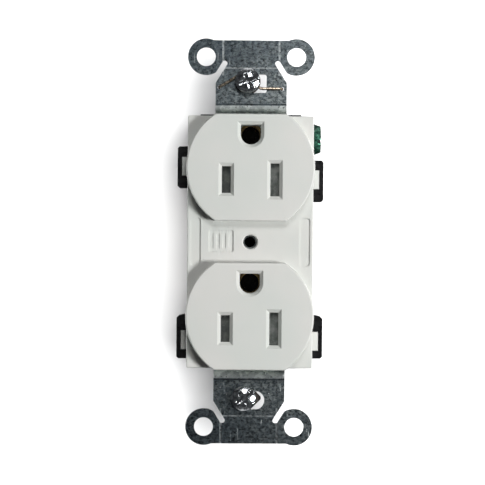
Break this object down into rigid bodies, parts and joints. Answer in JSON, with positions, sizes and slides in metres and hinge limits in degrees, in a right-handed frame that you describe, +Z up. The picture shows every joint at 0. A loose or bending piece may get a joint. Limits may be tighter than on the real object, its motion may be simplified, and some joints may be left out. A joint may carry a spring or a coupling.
{
  "type": "duplex wall outlet",
  "caption": "Duplex wall outlet with a moulded front cover, shuttered sockets, black rear body, steel mounting strap with plaster ears, side terminal screws and captive mounting screws.",
  "frame": {"origin": "on the faceplate screw's axis, in the front plane of the strap's ears", "axes": "+Z up along the strap with the ground holes uppermost, -Y out of the wall towards the user, +X right as seen from the front"},
  "size_m": [0.0384, 0.0286, 0.107],
  "materials": {
    "cover_plastic": "satin moulded nylon, warm white",
    "black_plastic": "fine moulded grain",
    "galvanized_steel": "galvanised, mottled and lightly scratched",
    "rivet_steel": "plated",
    "spring_brass": "drawn wire",
    "zinc_screw": "bright zinc plate",
    "washer_fibre": "pressed fibre",
    "contact_brass": "stamped, slightly tarnished",
    "tray_plastic": "moulded",
    "shutter_plastic": "smooth moulded acetal",
    "spring_steel": "bright spring wire",
    "clamp_steel": "zinc plated pressing",
    "brass_screw": "brass plate",
    "silver_screw": "nickel plate",
    "green_screw": "green dyed zinc"
  },
  "bodies": {
    "device": {"cover": "cover_plastic", "rear_body": "black_plastic", "mounting_strap": "galvanized_steel", "ground_rivets": "rivet_steel", "grounding_wire_clip": "spring_brass", "ground_contact_upper": "contact_brass", "shutter_tray_upper": "tray_plastic", "shutter_spring_upper": "spring_steel", "ground_contact_lower": "contact_brass", "shutter_tray_lower": "tray_plastic", "shutter_spring_lower": "spring_steel", "hot_contact_strip": "contact_brass", "neutral_contact_strip": "contact_brass"},
    "shutter_upper": {"shutter_upper": "shutter_plastic"},
    "shutter_lower": {"shutter_lower": "shutter_plastic"},
    "captive_washer_upper": {"captive_washer_upper": "washer_fibre"},
    "mounting_screw_upper": {"mounting_screw_upper": "zinc_screw"},
    "captive_washer_lower": {"captive_washer_lower": "washer_fibre"},
    "mounting_screw_lower": {"mounting_screw_lower": "zinc_screw"},
    "hot_clamp_upper": {"hot_clamp_upper": "clamp_steel"},
    "hot_screw_upper": {"hot_screw_upper": "brass_screw"},
    "hot_clamp_lower": {"hot_clamp_lower": "clamp_steel"},
    "hot_screw_lower": {"hot_screw_lower": "brass_screw"},
    "neutral_clamp_upper": {"neutral_clamp_upper": "clamp_steel"},
    "neutral_screw_upper": {"neutral_screw_upper": "silver_screw"},
    "neutral_clamp_lower": {"neutral_clamp_lower": "clamp_steel"},
    "neutral_screw_lower": {"neutral_screw_lower": "silver_screw"},
    "ground_clamp_plate": {"ground_clamp_plate": "clamp_steel"},
    "ground_screw": {"ground_screw": "green_screw"}
  },
  "joints": [
    {"name": "shutter_upper_slide", "type": "slide", "parent": "device", "child": "shutter_upper", "axis": [1, 0, 0], "range_m": [0, 0.0029], "stiffness_N_per_m": 120, "springref_m": -0.0008, "deforming": ["shutter_spring_upper"]},
    {"name": "shutter_lower_slide", "type": "slide", "parent": "device", "child": "shutter_lower", "axis": [1, 0, 0], "range_m": [0, 0.0029], "stiffness_N_per_m": 120, "springref_m": -0.0008, "deforming": ["shutter_spring_lower"]},
    {"name": "mounting_screw_upper_slide", "type": "slide", "parent": "device", "child": "captive_washer_upper", "axis": [1, 0, 0], "range_m": [-0.0008, 0.0002]},
    {"name": "mounting_screw_upper_turn", "type": "hinge", "parent": "captive_washer_upper", "child": "mounting_screw_upper", "pos_m": [-0.00095, 0, 0.04235], "axis": [0, 1, 0], "continuous": true},
    {"name": "mounting_screw_lower_slide", "type": "slide", "parent": "device", "child": "captive_washer_lower", "axis": [1, 0, 0], "range_m": [-0.0005, 0.0033]},
    {"name": "mounting_screw_lower_turn", "type": "hinge", "parent": "captive_washer_lower", "child": "mounting_screw_lower", "pos_m": [-0.0014, 0, -0.0411], "axis": [0, 1, 0], "continuous": true},
    {"name": "hot_upper_plate_slide", "type": "slide", "parent": "device", "child": "hot_clamp_upper", "axis": [1, 0, 0], "range_m": [0, 0.0018]},
    {"name": "hot_upper_screw_turn", "type": "hinge", "parent": "hot_clamp_upper", "child": "hot_screw_upper", "pos_m": [-0.0163, 0.012, 0.0056], "axis": [1, 0, 0], "range_deg": [0, 817]},
    {"name": "hot_lower_plate_slide", "type": "slide", "parent": "device", "child": "hot_clamp_lower", "axis": [1, 0, 0], "range_m": [0, 0.0018]},
    {"name": "hot_lower_screw_turn", "type": "hinge", "parent": "hot_clamp_lower", "child": "hot_screw_lower", "pos_m": [-0.0163, 0.012, -0.0114], "axis": [1, 0, 0], "range_deg": [0, 817]},
    {"name": "neutral_upper_plate_slide", "type": "slide", "parent": "device", "child": "neutral_clamp_upper", "axis": [-1, 0, 0], "range_m": [0, 0.0018]},
    {"name": "neutral_upper_screw_turn", "type": "hinge", "parent": "neutral_clamp_upper", "child": "neutral_screw_upper", "pos_m": [0.0163, 0.012, 0.0056], "axis": [-1, 0, 0], "range_deg": [0, 817]},
    {"name": "neutral_lower_plate_slide", "type": "slide", "parent": "device", "child": "neutral_clamp_lower", "axis": [-1, 0, 0], "range_m": [0, 0.0018]},
    {"name": "neutral_lower_screw_turn", "type": "hinge", "parent": "neutral_clamp_lower", "child": "neutral_screw_lower", "pos_m": [0.0163, 0.012, -0.0114], "axis": [-1, 0, 0], "range_deg": [0, 817]},
    {"name": "ground_plate_slide", "type": "slide", "parent": "device", "child": "ground_clamp_plate", "axis": [-1, 0, 0], "range_m": [0, 0.0017]},
    {"name": "ground_screw_turn", "type": "hinge", "parent": "ground_clamp_plate", "child": "ground_screw", "pos_m": [0.0186, 0.0082, 0.0274], "axis": [-1, 0, 0], "range_deg": [0, 772]}
  ],
  "couplings": [
    {"joint": "hot_upper_screw_turn", "follows": "hot_upper_plate_slide", "rad_per_m": 7915.8},
    {"joint": "hot_lower_screw_turn", "follows": "hot_lower_plate_slide", "rad_per_m": 7915.8},
    {"joint": "neutral_upper_screw_turn", "follows": "neutral_upper_plate_slide", "rad_per_m": 7915.8},
    {"joint": "neutral_lower_screw_turn", "follows": "neutral_lower_plate_slide", "rad_per_m": 7915.8},
    {"joint": "ground_screw_turn", "follows": "ground_plate_slide", "rad_per_m": 7915.8}
  ]
}
